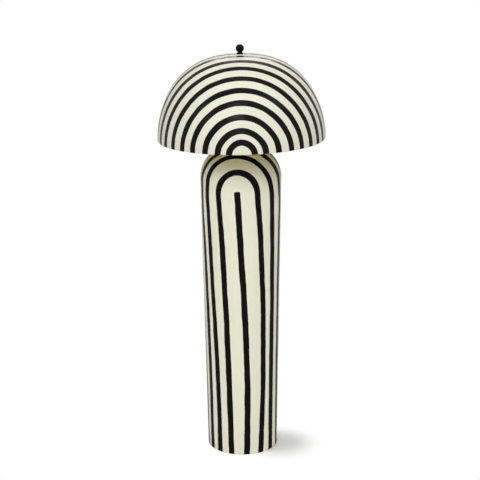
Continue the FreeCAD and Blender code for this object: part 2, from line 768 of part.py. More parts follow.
def set_screw():
    """Slotted grub screw that stops the lampholder from turning on the tube."""
    body = turned("set_screw", [
        (0, 0),
        (s.grub_radius, 0),
        (s.grub_radius, s.grub_length),
        (0, s.grub_length),
    ])
    slot = sketch_on(body, "XY_Plane", lift=s.grub_length)
    half = s.grub_slot / 2
    rectangle(slot, -2 * s.grub_radius, 2 * s.grub_radius, -half, half)
    pocket(body, slot, s.grub_slot_depth)
    return place(body, y=s.nipple_radius + s.bond_gap, z=hub_level + s.grub_height,
                 axis=ACROSS, degrees=TO_BACK)


def socket_shell():
    """Thin outer shell of the lampholder, with a rolled bead and a window for the switch shaft."""
    bead = s.holder_height - s.holder_bead_drop
    bore = holder_radius - s.holder_wall
    body = turned("socket_shell", [
        (bore, 0),
        (holder_radius, 0),
        (holder_radius, bead - s.holder_bead, s.holder_bead_arc, "left"),
        (holder_radius, bead + s.holder_bead),
        (holder_radius, s.holder_height),
        (bore, s.holder_height),
    ])
    front_hole(body, s.shaft_radius + s.shaft_window, s.shaft_height, holder_radius, 2 * s.holder_wall)
    return place(body, z=hub_level + holder_lift)


def socket_liner():
    """Pressed paper sleeve between the outer shell and the live parts."""
    height = s.holder_height - s.liner_drop
    body = turned("socket_liner", [
        (liner_bore, 0),
        (liner_radius, 0),
        (liner_radius, height),
        (liner_bore, height),
    ])
    front_hole(body, s.shaft_radius + s.shaft_window, s.shaft_height, liner_radius, 2 * s.liner_wall)
    return place(body, z=hub_level + holder_lift)


def socket_body():
    """Moulded core: a recess for the screw shell, two terminal notches and the switch's bore."""
    floor = s.core_height - s.core_recess
    recess = thread_outside + s.bond_gap
    body = turned("socket_body", [
        (0, 0),
        (core_radius, 0),
        (core_radius, s.core_height),
        (recess, s.core_height),
        (recess, floor),
        (0, floor),
    ])
    front_hole(body, s.shaft_radius + s.shaft_play, shaft_level - s.core_lift, core_radius,
               s.shaft_depth + s.seat_gap)
    notch = sketch_on(body)
    notch_face = core_radius - s.notch_depth
    rectangle(notch, notch_face, core_radius + s.notch_depth, 0, s.notch_top)
    notch_cut = pocket(body, notch, s.notch_width, both_ways=True)
    hole = sketch_on(body, "YZ_Plane", lift=notch_face)
    draw_circle(hole, s.terminal_shank + s.bond_gap, 0, s.terminal_height)
    hole_cut = pocket(body, hole, s.terminal_shank_length + s.seat_gap)
    around(body, [notch_cut, hole_cut], 2)
    return place(body, z=hub_level + s.core_lift)


def terminal_screws():
    """Two terminal screws, one in each notch of the core."""
    body = new_body("terminal_screws")
    body.AllowCompound = True
    notch_face = core_radius - s.notch_depth
    shank = sketch_on(body, "YZ_Plane", lift=notch_face - s.terminal_shank_length)
    draw_circle(shank, s.terminal_shank, 0, s.terminal_height)
    rod = pad(body, shank, s.terminal_shank_length + s.seat_gap)
    head = sketch_on(body, "YZ_Plane", lift=notch_face + s.seat_gap)
    draw_circle(head, s.terminal_head, 0, s.terminal_height)
    disc = pad(body, head, s.terminal_head_height)
    around(body, [rod, disc], 2)
    return place(body, z=hub_level + s.core_lift)


def socket_screw_shell():
    item = ring("socket_screw_shell", thread_outside, s.thread_radius, s.thread_height)
    return place(item, z=hub_level + core_floor + s.bond_gap)


def socket_contact():
    """Bent strip that presses on the bulb's end contact."""
    body = new_body("socket_contact")
    sheet = s.contact_sheet
    foot = s.contact_foot + s.contact_ramp
    strip = sketch_on(body)
    draw(strip, [
        (-foot, 0),
        (-s.contact_ramp, 0),
        (0, s.contact_rise),
        (s.contact_ramp, s.contact_rise),
        (s.contact_ramp, s.contact_rise + sheet),
        (-sheet / 2, s.contact_rise + sheet),
        (-s.contact_ramp - sheet / 2, sheet),
        (-foot, sheet),
    ])
    pad(body, strip, s.contact_width, both_ways=True)
    return place(body, z=hub_level + core_floor)


# Turn switch.

def switch_shaft():
    length = s.shaft_depth + (knob_face - core_radius) + s.shaft_stub
    item = cylinder("switch_shaft", s.shaft_radius, length)
    return place(item, y=-(core_radius - s.shaft_depth), z=hub_level + shaft_level,
                 axis=ACROSS, degrees=TO_FRONT)


def switch_knob():
    """Fluted knob on the switch shaft."""
    bore = s.shaft_radius + s.bond_gap
    depth = s.shaft_stub + s.bond_gap
    body = turned("switch_knob", [
        (bore, 0),
        (s.knob_neck, 0),
        (s.knob_neck, s.knob_skirt),
        (s.knob_radius, s.knob_skirt),
        (s.knob_radius, s.knob_length - s.knob_round, s.knob_round, "left"),
        (s.knob_radius - s.knob_round, s.knob_length),
        (0, s.knob_length),
        (0, depth),
        (bore, depth),
    ])
    flute = sketch_on(body, "XY_Plane", lift=s.knob_length)
    draw_circle(flute, s.knob_flute_radius, s.knob_radius, 0)
    groove = pocket(body, flute, s.knob_length - s.knob_skirt)
    around(body, [groove], s.knob_flutes)
    return place(body, y=-knob_face, z=hub_level + shaft_level,
                 axis=ACROSS, degrees=TO_FRONT)


# Bulb.

def bulb_contact():
    return place(cylinder("bulb_contact", s.button_radius, s.button_height), z=bulb_level)


def bulb_insulator():
    """Glass insulator that widens from the end contact to the screw cap."""
    slope = s.insulator_radius - s.bond_gap
    return place(turned("bulb_insulator", [
        (0, 0),
        (s.button_radius, 0),
        (slope, s.insulator_height),
        (0, s.insulator_height),
    ]), z=bulb_level + s.button_height)


def bulb_cap():
    """Screw cap, drawn as its plain outer cylinder with a closed-in end."""
    wall = s.cap_thread_wall
    corner = 2 * wall
    return place(turned("bulb_cap", [
        (s.button_radius, 0),
        (cap_thread_radius - corner, 0, corner, "left"),
        (cap_thread_radius, corner),
        (cap_thread_radius, s.cap_thread_height),
        (cap_thread_radius - wall, s.cap_thread_height),
        (cap_thread_radius - wall, corner, wall, "right"),
        (cap_thread_radius - corner, wall),
        (s.button_radius, wall),
    ]), z=bulb_level + cap_thread_level)


def bulb_housing():
    """Moulded housing that flares from the screw cap to the globe."""
    collar = cap_thread_radius + s.housing_collar
    top = s.housing_neck + s.housing_flare
    recess = s.light_board_radius + s.bond_gap
    return place(turned("bulb_housing", [
        (0, 0),
        (collar, 0),
        (collar, s.housing_neck, s.housing_arc, "right"),
        (s.globe_seat, top),
        (recess, top),
        (recess, top - s.board_recess),
        (0, top - s.board_recess),
    ]), z=bulb_level + housing_level)


def bulb_led_board():
    item = cylinder("bulb_led_board", s.light_board_radius, s.light_board_thickness)
    return place(item, z=bulb_level + housing_top - s.board_recess)


def bulb_globe():
    """Thin frosted globe: a slightly curved skirt under a half sphere."""
    bulge = s.globe_radius - s.globe_seat
    skirt_arc = (bulge * bulge + s.globe_skirt * s.globe_skirt) / (2 * bulge)
    inner_arc = skirt_arc - s.globe_wall
    inner_seat = s.globe_radius - skirt_arc + other_side(inner_arc, s.globe_skirt)
    inner_radius = s.globe_radius - s.globe_wall
    return place(turned("bulb_globe", [
        (inner_seat, 0),
        (s.globe_seat, 0, skirt_arc, "left"),
        (s.globe_radius, s.globe_skirt, s.globe_radius, "left"),
        (0, s.globe_skirt + s.globe_radius),
        (0, s.globe_skirt + inner_radius, inner_radius, "right"),
        (inner_radius, s.globe_skirt, inner_arc, "right"),
    ]), z=bulb_level + housing_top)


# Harp, ferrules and swivel.

def harp_wire():
    """Wire loop on two forked feet, with a drilled lug at its top."""
    body = new_body("harp_wire")
    shift = (s.harp_belly - s.saddle_span) / 2
    climb = other_side(s.harp_bend, s.harp_bend - shift)
    middle = s.saddle_span + shift
    low, half, high = s.leg_straight, s.leg_straight + climb, s.leg_straight + climb + climb
    shoulder = s.harp_height - s.harp_corner
    top = s.harp_belly - s.harp_corner
    foot = sketch_on(body, "XY_Plane")
    draw_circle(foot, s.wire_radius, s.saddle_span, 0)
    path = sketch_on(body)
    draw(path, [
        (s.saddle_span, 0),
        (s.saddle_span, low, s.harp_bend, "right"),
        (middle, half, s.harp_bend, "left"),
        (s.harp_belly, high),
        (s.harp_belly, shoulder, s.harp_corner, "left"),
        (top, s.harp_height),
        (-top, s.harp_height, s.harp_corner, "left"),
        (-s.harp_belly, shoulder),
        (-s.harp_belly, high, s.harp_bend, "left"),
        (-middle, half, s.harp_bend, "right"),
        (-s.saddle_span, low),
        (-s.saddle_span, 0),
    ], closed=False)
    wire = body.newObject("PartDesign::AdditivePipe", "harp_wire_pipe")
    wire.Profile = foot
    wire.Spine = path
    feet = sketch_on(body, "XY_Plane")
    draw_circle(feet, s.leg_radius, s.saddle_span, 0)
    draw_circle(feet, s.leg_radius, -s.saddle_span, 0)
    pad(body, feet, s.leg_height)
    lug = sketch_on(body, "XY_Plane", lift=s.harp_height - s.lug_thickness / 2)
    draw_circle(lug, s.lug_radius)
    pad(body, lug, s.lug_thickness)
    forks = sketch_on(body)
    slot = s.saddle_sheet / 2 + s.fork_play
    for middle in (-s.saddle_span, s.saddle_span):
        rectangle(forks, middle - slot, middle + slot, 0, s.tongue_height)
    pocket(body, forks, 3 * s.leg_radius, both_ways=True)
    hole = sketch_on(body, "XY_Plane", lift=s.harp_height + s.lug_thickness / 2)
    draw_circle(hole, s.pivot_radius + s.pivot_play)
    pocket(body, hole, s.lug_thickness)
    return place(body, z=harp_level)


def ferrule(label, side):
    """Sleeve that slides down over a forked foot and locks it."""
    bore = s.leg_radius + s.ferrule_play
    outside = bore + s.ferrule_wall
    lip = outside + s.ferrule_lip
    return place(turned(label, [
        (bore, 0),
        (lip, 0),
        (lip, s.ferrule_lip_height),
        (outside, s.ferrule_lip_height),
        (outside, s.ferrule_length),
        (bore, s.ferrule_length),
    ]), x=side * s.saddle_span, z=harp_level)


def ferrule_left():
    return ferrule("ferrule_left", -1)


def ferrule_right():
    return ferrule("ferrule_right", 1)


def swivel_stud():
    """Rivet that turns in the harp's lug, with the shade's seat and the finial's stud above it."""
    seat = s.pivot_head_height + s.lug_thickness + 2 * s.seat_gap
    level = seat_level - seat
    top = apex_level + s.stud_reach - level
    return place(turned("swivel_stud", [
        (0, 0),
        (s.pivot_head, 0),
        (s.pivot_head, s.pivot_head_height),
        (s.pivot_radius, s.pivot_head_height),
        (s.pivot_radius, seat),
        (s.seat_radius, seat),
        (s.seat_radius, seat + s.seat_thickness),
        (s.stud_radius, seat + s.seat_thickness),
        (s.stud_radius, top - s.stud_chamfer),
        (s.stud_radius - s.stud_chamfer, top),
        (0, top),
    ]), z=level)


# Shade.

def shade_dome():
    """Dome of one wall thickness: side, haunch and crown are three arcs that meet smoothly."""
    wall = s.shade_wall
    rim = s.rim_round

    def side_point(radius, angle, centre_x, centre_y):
        return centre_x + radius * cosine(angle), centre_y + radius * sine(angle)

    haunch_out = side_point(s.rim_arc, s.rim_sweep, rim_centre_x, rim)
    haunch_in = side_point(s.rim_arc - wall, s.rim_sweep, rim_centre_x, rim)
    crown_out = side_point(s.haunch_arc, s.haunch_sweep, haunch_x, haunch_y)
    crown_in = side_point(s.haunch_arc - wall, s.haunch_sweep, haunch_x, haunch_y)
    return place(turned("shade_dome", [
        (s.shade_radius - wall + rim, 0),
        (s.shade_radius - rim, 0, rim, "left"),
        (s.shade_radius, rim, s.rim_arc, "left"),
        (*haunch_out, s.haunch_arc, "left"),
        (*crown_out, crown_arc, "left"),
        (stud_bore, crown_y + other_side(crown_arc, stud_bore)),
        (stud_bore, crown_y + other_side(crown_arc - wall, stud_bore), crown_arc - wall, "right"),
        (*crown_in, s.haunch_arc - wall, "right"),
        (*haunch_in, s.rim_arc - wall, "right"),
        (s.shade_radius - wall, rim, rim, "left"),
    ]), z=shade_level)


def fitter_plate():
    """Dished steel plate glued inside the crown; its arcs share the crown's centre."""
    upper = crown_arc - s.shade_wall - s.bond_gap
    lower = upper - s.fitter_thickness
    body = turned("fitter_plate", [
        (stud_bore, other_side(lower, stud_bore), lower, "right"),
        (s.fitter_radius, other_side(lower, s.fitter_radius)),
        (s.fitter_radius, other_side(upper, s.fitter_radius), upper, "left"),
        (stud_bore, other_side(upper, stud_bore)),
    ])
    hole = sketch_on(body, "XY_Plane", lift=upper)
    draw_circle(hole, s.fitter_hole_radius, s.fitter_hole_circle, 0)
    hole_cut = pocket(body, hole, 2 * s.fitter_thickness)
    around(body, [hole_cut], s.fitter_hole_count)
    return place(body, z=apex_level - crown_arc)


# Finial.

def finial_knob():
    """Ball on a short neck and a collar, bored from below for its insert."""
    socket = s.insert_radius + s.bond_gap
    depth = s.insert_length + s.bond_gap
    collar_top = s.collar_height + s.collar_round
    join = s.ball_lift - other_side(s.ball_radius, s.finial_neck)
    return place(turned("finial_knob", [
        (socket, 0),
        (s.collar_radius, 0),
        (s.collar_radius, s.collar_height, s.collar_round, "left"),
        (s.collar_radius - s.collar_round, collar_top),
        (s.finial_neck, collar_top),
        (s.finial_neck, join, s.ball_radius, "left"),
        (0, s.ball_lift + s.ball_radius),
        (0, depth),
        (socket, depth),
    ]), z=finial_level)


def finial_insert():
    """Brass insert with a blind threaded hole, drawn at the thread's outer radius."""
    bore = s.stud_radius + s.stud_fit
    return place(turned("finial_insert", [
        (bore, 0),
        (s.insert_radius, 0),
        (s.insert_radius, s.insert_length),
        (0, s.insert_length),
        (0, s.insert_depth),
        (bore, s.insert_depth),
    ]), z=finial_level)


PIECES = (
    body_shell, base_pad, base_board, ballast_disc, ballast_screws, cord_grommet,
    crown_washer, inner_nut, nipple, crown_cap, neck_spacer, harp_saddle, lock_washer,
    socket_cap, set_screw, socket_shell, socket_liner, socket_body, terminal_screws,
    socket_screw_shell, socket_contact, switch_shaft, switch_knob,
    bulb_contact, bulb_insulator, bulb_cap, bulb_housing, bulb_led_board, bulb_globe,
    harp_wire, ferrule_left, ferrule_right, swivel_stud,
    shade_dome, fitter_plate, finial_knob, finial_insert,
)


def check(pieces):
    """Stop if any object failed, or if any piece has no sound solid."""
    for item in doc.Objects:
        if {"Invalid", "Error"} & set(item.State):
            raise RuntimeError(f"{item.Name} failed: {item.State}")
    for piece in pieces:
        shape = piece.Shape
        if shape.isNull() or not shape.isValid() or not shape.Solids:
            raise RuntimeError(f"{piece.Label} has no sound solid")


pieces = [make() for make in PIECES]
doc.recompute()
check(pieces)
os.makedirs("parts", exist_ok=True)
for piece in pieces:
    piece.Shape.exportStep(f"parts/{piece.Label}.step")
    print(f"{piece.Label}: {len(piece.Shape.Solids)} solid, {piece.Shape.Volume / 1000:.2f} cm3")
print(f"height {finial_level.value + s.ball_lift.value + s.ball_radius.value:.1f}",
      f"rim {shade_level.value:.1f}", f"apex {apex_level.value:.1f}", f"foot {foot_radius.value:.1f}",
      f"shade {shade_height.value:.1f}")
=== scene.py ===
import json
import math
from collections import namedtuple

import bpy
import numpy as np
from mathutils import Matrix, Vector, noise


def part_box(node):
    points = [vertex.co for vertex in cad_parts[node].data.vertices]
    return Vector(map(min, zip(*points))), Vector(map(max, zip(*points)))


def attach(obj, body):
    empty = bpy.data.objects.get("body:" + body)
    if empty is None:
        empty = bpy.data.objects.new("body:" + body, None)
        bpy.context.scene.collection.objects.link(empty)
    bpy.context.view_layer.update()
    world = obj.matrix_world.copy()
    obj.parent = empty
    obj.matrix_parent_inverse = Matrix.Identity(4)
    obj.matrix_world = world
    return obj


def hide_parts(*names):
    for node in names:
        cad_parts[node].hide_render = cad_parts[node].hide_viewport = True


# Mushroom floor lamp: hand-painted paper column and dome, and the finishes of every other piece.
# Lengths are in metres and angles are written in degrees; -Y is the front. The width of brush
# strokes, and places along and across them, are in millimetres.

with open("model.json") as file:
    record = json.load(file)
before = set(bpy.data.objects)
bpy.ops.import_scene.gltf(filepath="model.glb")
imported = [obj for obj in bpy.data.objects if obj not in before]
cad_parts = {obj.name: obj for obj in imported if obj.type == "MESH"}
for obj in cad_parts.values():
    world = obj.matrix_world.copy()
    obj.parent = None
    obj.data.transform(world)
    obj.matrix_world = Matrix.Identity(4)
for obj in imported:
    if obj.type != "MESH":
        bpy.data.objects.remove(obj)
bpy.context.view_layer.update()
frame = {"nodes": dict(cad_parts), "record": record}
nodes = frame["nodes"]

MM = 0.001

# Column and dome, as the construction has them.
FOOT_LEVEL = 1 * MM
BODY_HEIGHT = 970 * MM
BODY_WALL = 6 * MM
SIDE_TAPER = math.radians(0.9)
SHOULDER_ARC = 95.2 * MM
CROWN_LAND = 28.4 * MM
CROWN_BORE = 4.95 * MM
FOOT_ROUND = 4 * MM
INLET_HEIGHT = 64 * MM
INLET_RADIUS = 5.25 * MM
INLET_DRILL = 40 * MM

RIM_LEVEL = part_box("shade_dome")[0].z
SHADE_RADIUS = 254 * MM
SHADE_WALL = 5 * MM
RIM_ROUND = 1.2 * MM
RIM_ARC = 290 * MM
HAUNCH_ARC = 209.5 * MM
HAUNCH_FROM = 30.5
CROWN_FROM = 81.4
STUD_HOLE = 3.62 * MM

# The dome sits on its stud a little askew: its right side is the higher one.
DOME_LEAN = math.radians(0.75)

# Steps round each skin, and up the painted arcs and lines of its outline.
COLUMN_SEGMENTS = 176
COLUMN_SIDE_STEPS = 170
SHOULDER_STEPS = 30
DOME_SEGMENTS = 240
DOME_ARC_STEPS = 34


# Meshes.

DRILL_SIDES = 48

# Where the noise of one seed is read, away from where that of the seed before it is.
NOISE_STEP = Vector((7.3, 3.1, 5.7))


def arc(centre, radius, start, end, steps, first=True):
    """Points on an arc about centre, angles in degrees, with or without the first of them."""
    angles = np.radians(np.linspace(start, end, steps + 1))
    points = [(centre[0] + radius * math.cos(a), centre[1] + radius * math.sin(a)) for a in angles]
    return points if first else points[1:]


def line(start, end, steps):
    """Points after start, up to and with end."""
    return [tuple(np.array(start) + (np.array(end) - start) * i / steps)
            for i in range(1, steps + 1)]


def lathe(name, outline, segments):
    """A closed outline of (radius, height) points, turned once round Z. It runs anticlockwise."""
    turns = np.linspace(0, 2 * math.pi, segments, endpoint=False)
    ring = np.array(outline)
    x = np.outer(np.sin(turns), ring[:, 0])
    y = np.outer(-np.cos(turns), ring[:, 0])
    z = np.broadcast_to(ring[:, 1], x.shape)
    corners = np.stack([x, y, z], -1).reshape(-1, 3)
    count = len(outline)
    faces = []
    for turn in range(segments):
        here, there = turn * count, (turn + 1) % segments * count
        for i in range(count):
            j = (i + 1) % count
            faces.append((here + i, there + i, there + j, here + j))
    mesh = bpy.data.meshes.new(name)
    mesh.from_pydata(corners.tolist(), [], faces)
    return link(name, mesh)


def link(name, data):
    """An object in the scene with this mesh, camera or lamp."""
    thing = bpy.data.objects.new(name, data)
    bpy.context.scene.collection.objects.link(thing)
    return thing


def points_of(thing):
    """A mesh's vertices, one row each."""
    flat = np.empty(len(thing.data.vertices) * 3)
    thing.data.vertices.foreach_get("co", flat)
    return flat.reshape(-1, 3)


def set_points(thing, points):
    thing.data.vertices.foreach_set("co", np.ravel(points))
    thing.data.update()


def attribute(thing, name, values):
    """One number or one vector at each vertex, for the materials."""
    values = np.asarray(values)
    kind, field = ("FLOAT", "value") if values.ndim == 1 else ("FLOAT_VECTOR", "vector")
    thing.data.attributes.new(name, kind, "POINT").data.foreach_set(field, values.ravel())


def drill(thing, centre, axis, radius, length):
    """Cuts a round hole through the mesh."""
    bpy.ops.mesh.primitive_cylinder_add(vertices=DRILL_SIDES, radius=radius, depth=length,
                                        location=centre)
    drill_bit = bpy.context.object
    drill_bit.rotation_euler = Vector(axis).to_track_quat("Z", "Y").to_euler()
    cut = thing.modifiers.new("hole", "BOOLEAN")
    cut.operation, cut.solver, cut.object = "DIFFERENCE", "EXACT", drill_bit
    bpy.context.view_layer.update()
    shaped = thing.evaluated_get(bpy.context.evaluated_depsgraph_get())
    thing.data = bpy.data.meshes.new_from_object(shaped)
    thing.modifiers.clear()
    bpy.data.objects.remove(drill_bit)


def wander(points, *layers):
    """Smooth noise at each point. A layer is its height, the size of its lumps and its seed."""
    total = np.zeros(len(points))
    for height, size, seed in layers:
        shift = NOISE_STEP * seed
        total += height * np.array([noise.noise(Vector(p) / size + shift) for p in points])
    return total


def ramp(values, start, end):
    """0 before start, 1 after end, and smooth between them."""
    t = np.clip((values - start) / (end - start), 0, 1)
    return t * t * (3 - 2 * t)


# Column skin. Rolled and pasted paper is never quite round: it swells and sinks in long and short
# lumps, and is true near the foot and the crown, where other pieces sit on it.

PAPER_LUMPS = ((0.5 * MM, 0.11, 1), (0.15 * MM, 0.03, 2))
TRUE_BELOW, LOOSE_ABOVE = 0.11, 0.2
CROWN_TRUE = 0.03
LEAST_RADIUS = 0.01


def column_skin():
    taper = math.degrees(SIDE_TAPER)
    shoulder = (CROWN_LAND, BODY_HEIGHT - SHOULDER_ARC)
    inner_arc = SHOULDER_ARC - BODY_WALL
    side_top = (shoulder[0] + SHOULDER_ARC * math.cos(SIDE_TAPER),
                shoulder[1] - SHOULDER_ARC * math.sin(SIDE_TAPER))
    foot = side_top[0] - side_top[1] * math.tan(SIDE_TAPER)
    inner_top = (shoulder[0] + inner_arc * math.cos(SIDE_TAPER),
                 shoulder[1] - inner_arc * math.sin(SIDE_TAPER))
    inner_foot = (inner_top[0] - inner_top[1] * math.tan(SIDE_TAPER), 0)
    side_foot = (foot, FOOT_ROUND)
    outline = [
        *arc((foot - FOOT_ROUND, FOOT_ROUND), FOOT_ROUND, -90, 0, 4),
        *line(side_foot, side_top, COLUMN_SIDE_STEPS),
        *arc(shoulder, SHOULDER_ARC, -taper, 90, SHOULDER_STEPS, first=False),
        *line((CROWN_LAND, BODY_HEIGHT), (CROWN_BORE, BODY_HEIGHT), 5),
        (CROWN_BORE, BODY_HEIGHT - BODY_WALL),
        (CROWN_LAND, BODY_HEIGHT - BODY_WALL),
        *arc(shoulder, inner_arc, 90, -taper, 12, first=False),
        *line(inner_top, inner_foot, 16),
    ]
    skin = lathe("column_skin", [(r, z + FOOT_LEVEL) for r, z in outline], COLUMN_SEGMENTS)
    drill(skin, (0, foot, INLET_HEIGHT), (0, 1, 0), INLET_RADIUS, INLET_DRILL)
    points = points_of(skin)
    radius = np.hypot(points[:, 0], points[:, 1])
    loose = (ramp(points[:, 2] - FOOT_LEVEL, TRUE_BELOW, LOOSE_ABOVE)
             * ramp(radius, CROWN_LAND, CROWN_LAND + CROWN_TRUE))
    swell = loose * wander(points, *PAPER_LUMPS)
    points[:, :2] *= (1 + swell / np.maximum(radius, LEAST_RADIUS))[:, None]
    set_points(skin, points)
    return skin


# Dome skin.

def dome_skin():
    """The dome's skin, and the height of its crown above the rim."""
    rim_centre = (SHADE_RADIUS - RIM_ARC, RIM_ROUND)
    turn = math.radians(HAUNCH_FROM)
    haunch = (rim_centre[0] + (RIM_ARC - HAUNCH_ARC) * math.cos(turn),
              rim_centre[1] + (RIM_ARC - HAUNCH_ARC) * math.sin(turn))
    top = math.radians(CROWN_FROM)
    crown_arc = HAUNCH_ARC + haunch[0] / math.cos(top)
    crown = (0, haunch[1] - (crown_arc - HAUNCH_ARC) * math.sin(top))

    def side(inset, hole, steps):
        last = math.degrees(math.acos(hole / (crown_arc - inset)))
        return [
            *arc(rim_centre, RIM_ARC - inset, 0, HAUNCH_FROM, steps),
            *arc(haunch, HAUNCH_ARC - inset, HAUNCH_FROM, CROWN_FROM, steps, first=False),
            *arc(crown, crown_arc - inset, CROWN_FROM, last, steps // 2, first=False),
        ]

    outer_round = (SHADE_RADIUS - RIM_ROUND, RIM_ROUND)
    inner_round = (SHADE_RADIUS - SHADE_WALL + RIM_ROUND, RIM_ROUND)
    outline = [
        *arc(inner_round, RIM_ROUND, 180, 270, 3),
        *arc(outer_round, RIM_ROUND, -90, 0, 3)[:-1],
        *side(0, STUD_HOLE, DOME_ARC_STEPS),
        *reversed(side(SHADE_WALL, STUD_HOLE, 16)),
    ]
    skin = lathe("dome_skin", [(r, z + RIM_LEVEL) for r, z in outline[:-1]], DOME_SEGMENTS)
    return skin, crown[1] + crown_arc


# Brush strokes. Each skin carries, at each vertex, how far it is from the nearest stroke's edge,
# below nothing inside the stroke, and its place along and across that stroke, in millimetres.

# A place's third number goes up by this from stroke to stroke, so that no two have one grain.
STROKE_APART = 40.0

# Column: a spine and arches nested round it. The numbers are azimuths in degrees, to the right of
# the front, of the spine and of each arch's two legs at these heights. The back has the same
# pattern, but the last arch runs down both sides and is drawn once. Above its centre an arch is
# about a circle seen from the front. Its top is drawn up by a share of its half width, which is
# its rise, and turned to the left by its swing in degrees, which comes in over a height of
# SWING_OVER.
COLUMN_STROKE = 18.6
LINE_HEIGHTS = (0.0, 0.4, 0.6, 0.8)
SPINE = (6.6, 5.9, 1.3, -4.0)
SPINE_TOP = 0.857
SPINE_CORNER = 3.0
Arch = namedtuple("Arch", "left right centre rise swing")
ARCHES = (
    Arch((-19.1, -23.3, -27.1, -32.2), (30.7, 34.4, 31.4, 25.5), 0.845, 0.08, 0.8),
    Arch((-40.8, -45.0, -49.9, -55.3), (52.6, 52.4, 52.0, 49.6), 0.825, 0.11, 3.4),
    Arch((-59.5, -62.0, -66.0, -74.0), (75.0, 72.0, 72.3, 74.4), 0.780, 0.035, 3.2),
    Arch((-78.5, -83.0, -87.0, -91.0), (92.0, 90.5, 89.0, 88.5), 0.800, -0.01, 2.5),
)
SWING_OVER = 0.13

# Brush strokes waver across their line, and their width swells and shrinks, in layers of noise:
# by how many millimetres, in lumps of how many metres, and the seed.
COLUMN_WAVER = ((1.2, 0.09, 5), (0.8, 0.028, 6))
COLUMN_SWELL = (1.6, 0.07, 7)

# Strokes grow wider towards the right side and the left one: by how many millimetres, and from
# where to where, as the sine of the azimuth.
WIDER_RIGHT = (3.2, 0.5, 0.9)
WIDER_LEFT = (2.4, 0.8, 0.96)

# Dome: rings round the middle of the front rim, by their angle from the line that points there.
# Each ring is a little pinched at its haunches and spread at its feet, more so on the right. The
# strokes grow wider away from the front: by how many millimetres, and from which angle to which.
DOME_STROKE = 17.9
RINGS = (8.2, 15.5, 24.2, 33.5, 42.2, 51.4, 60.9, 70.3, 80.8, 90.5,
         100.2, 109.7, 119.1, 128.6, 137.8, 146.8, 155.8, 164.6, 172.0)
SPREAD_LEFT = 0.9
SPREAD_RIGHT = 1.7
PINCH_LEFT = 0.5
PINCH_RIGHT = 0.9
DOME_WAVER = ((1.0, 0.10, 11), (0.7, 0.03, 12))
DOME_SWELL = (1.3, 0.08, 13)
WIDER_FAR = (3.2, 48, 84)


def azimuth_at(line_azimuths, heights, top):
    """A line's azimuth in radians: a smooth curve through its four values, upright above top."""
    curve = np.polyfit(LINE_HEIGHTS, line_azimuths, 3)
    return np.radians(np.polyval(curve, np.minimum(heights, top)))


def nearest(candidates):
    """The stroke whose edge is nearest, out of (edge, along, across) triples."""
    edges = np.array([edge for edge, _, _ in candidates])
    pick = edges.argmin(0)
    every = np.arange(edges.shape[1])
    place = np.stack([np.array([along for _, along, _ in candidates])[pick, every],
                      np.array([across for _, _, across in candidates])[pick, every],
                      pick * STROKE_APART], -1)
    return edges[pick, every], place


def wider(values, wide):
    """What a stroke gains in width at these values: wide is how much, from where, to where."""
    gain, start, end = wide
    return gain * ramp(values, start, end)


def column_strokes(points):
    """Distance to a stroke's edge and place on it, for points of the column's skin."""
    candidates = []
    z = points[:, 2]
    radius = np.hypot(points[:, 0], points[:, 1])
    waver = wander(points, *COLUMN_WAVER)
    width = COLUMN_STROKE + wander(points, COLUMN_SWELL)
    to_right = points[:, 0] / radius
    width += wider(to_right, WIDER_RIGHT) + wider(-to_right, WIDER_LEFT)
    for facing, arches in ((1, ARCHES), (-1, ARCHES[:-1])):
        azimuth = np.arctan2(facing * points[:, 0], -facing * points[:, 1])

        across = (azimuth - azimuth_at(SPINE, z, SPINE_TOP)) * radius / MM + waver
        side = np.abs(across) - width / 2 + SPINE_CORNER
        above = (z - SPINE_TOP) / MM + SPINE_CORNER
        outside = np.hypot(np.maximum(side, 0), np.maximum(above, 0))
        edge = outside + np.minimum(np.maximum(side, above), 0) - SPINE_CORNER
        candidates.append((edge, z / MM, across))

        for arch in arches:
            first = azimuth_at(arch.left, z, arch.centre)
            last = azimuth_at(arch.right, z, arch.centre)
            rise = np.maximum(z - arch.centre, 0)
            turn = (first + last) / 2 - math.radians(arch.swing) * ramp(rise, 0, SWING_OVER)
            reach = np.hypot(radius, rise)
            ahead = radius * np.cos(azimuth - turn)
            sideways = radius * np.sin(azimuth - turn)
            angle = np.arccos(np.clip(ahead / reach, -1, 1))
            over = math.pi / 2 - np.arctan2(np.abs(sideways), rise)
            half = (last - first) / 2 * (1 + arch.rise * np.sin(over) ** 3)
            across = (angle - half) * reach / MM + waver
            along = (np.minimum(z, arch.centre) + over * np.hypot(sideways, rise)) / MM
            candidates.append((np.abs(across) - width / 2, along, across))
    return nearest(candidates)


def dome_strokes(points):
    """Distance to a stroke's edge and place on it, for points of the level dome."""
    x, y, z = points[:, 0], points[:, 1], points[:, 2] - RIM_LEVEL
    reach = np.sqrt(x * x + y * y + z * z)
    angle = np.degrees(np.arccos(np.clip(-y / reach, -1, 1)))
    round_axis = np.arctan2(x, z)
    spread = np.where(x > 0, SPREAD_RIGHT, SPREAD_LEFT) * np.sin(round_axis) ** 6
    pinch = np.where(x > 0, PINCH_RIGHT, PINCH_LEFT) * np.sin(2 * round_axis) ** 2
    angle -= (spread - pinch) * np.sin(np.radians(angle))
    waver = wander(points, *DOME_WAVER)
    width = DOME_STROKE + wander(points, DOME_SWELL) + wider(angle, WIDER_FAR)
    candidates = []
    for ring in RINGS:
        across = np.radians(angle - ring) * reach / MM + waver
        along = round_axis * reach * math.sin(math.radians(ring)) / MM
        candidates.append((np.abs(across) - width / 2, along, across))
    return nearest(candidates)


def paint_strokes(skin, strokes):
    edge, place = strokes(points_of(skin))
    attribute(skin, "stroke_edge", edge)
    attribute(skin, "stroke_place", place)


# Materials.

